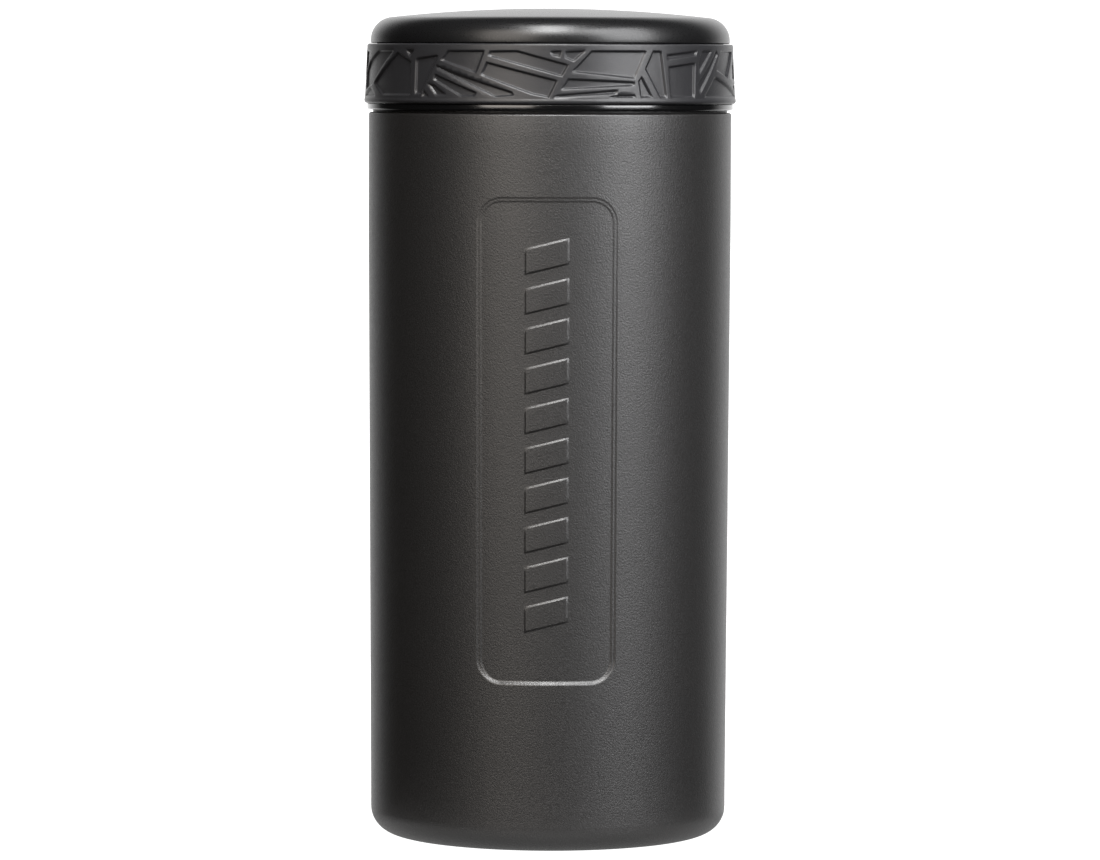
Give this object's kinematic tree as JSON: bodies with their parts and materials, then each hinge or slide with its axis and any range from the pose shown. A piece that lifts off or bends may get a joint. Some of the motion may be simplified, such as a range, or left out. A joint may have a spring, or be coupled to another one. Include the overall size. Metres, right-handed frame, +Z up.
{
  "type": "storage canister",
  "caption": "Slim cylindrical storage canister with a domed screw-on lid, a ribbed rubber grip band, a sealing ring and a recessed front panel.",
  "frame": {"origin": "centre of the underside of the base, on the surface the canister stands on", "axes": "+Z up along the canister's axis; the recessed front panel faces -Y; +X to the right seen from the front"},
  "size_m": [0.0756, 0.0756, 0.1681],
  "materials": {
    "body_plastic": "satin, fine grain, smoke grey",
    "lid_plastic": "satin black",
    "ring_plastic": "gloss black",
    "seal_silicone": "soft matte grey",
    "grip_rubber": "matte, dark grey"
  },
  "bodies": {
    "canister": {"canister_body": "body_plastic"},
    "lid_lift": {"lid_seal": "seal_silicone"},
    "lid": {"lid_shell": "lid_plastic", "lid_thread_ring": "ring_plastic", "grip_band": "grip_rubber"}
  },
  "joints": [
    {"name": "lid_rise", "type": "slide", "parent": "canister", "child": "lid_lift", "axis": [0, 0, 1], "range_m": [0, 0.024]},
    {"name": "lid_turn", "type": "hinge", "parent": "lid_lift", "child": "lid", "pos_m": [0, 0, 0.148], "axis": [0, 0, 1], "range_deg": [0, 720]}
  ],
  "couplings": [
    {"joint": "lid_rise", "follows": "lid_turn", "m_per_rad": 0.0019099}
  ]
}
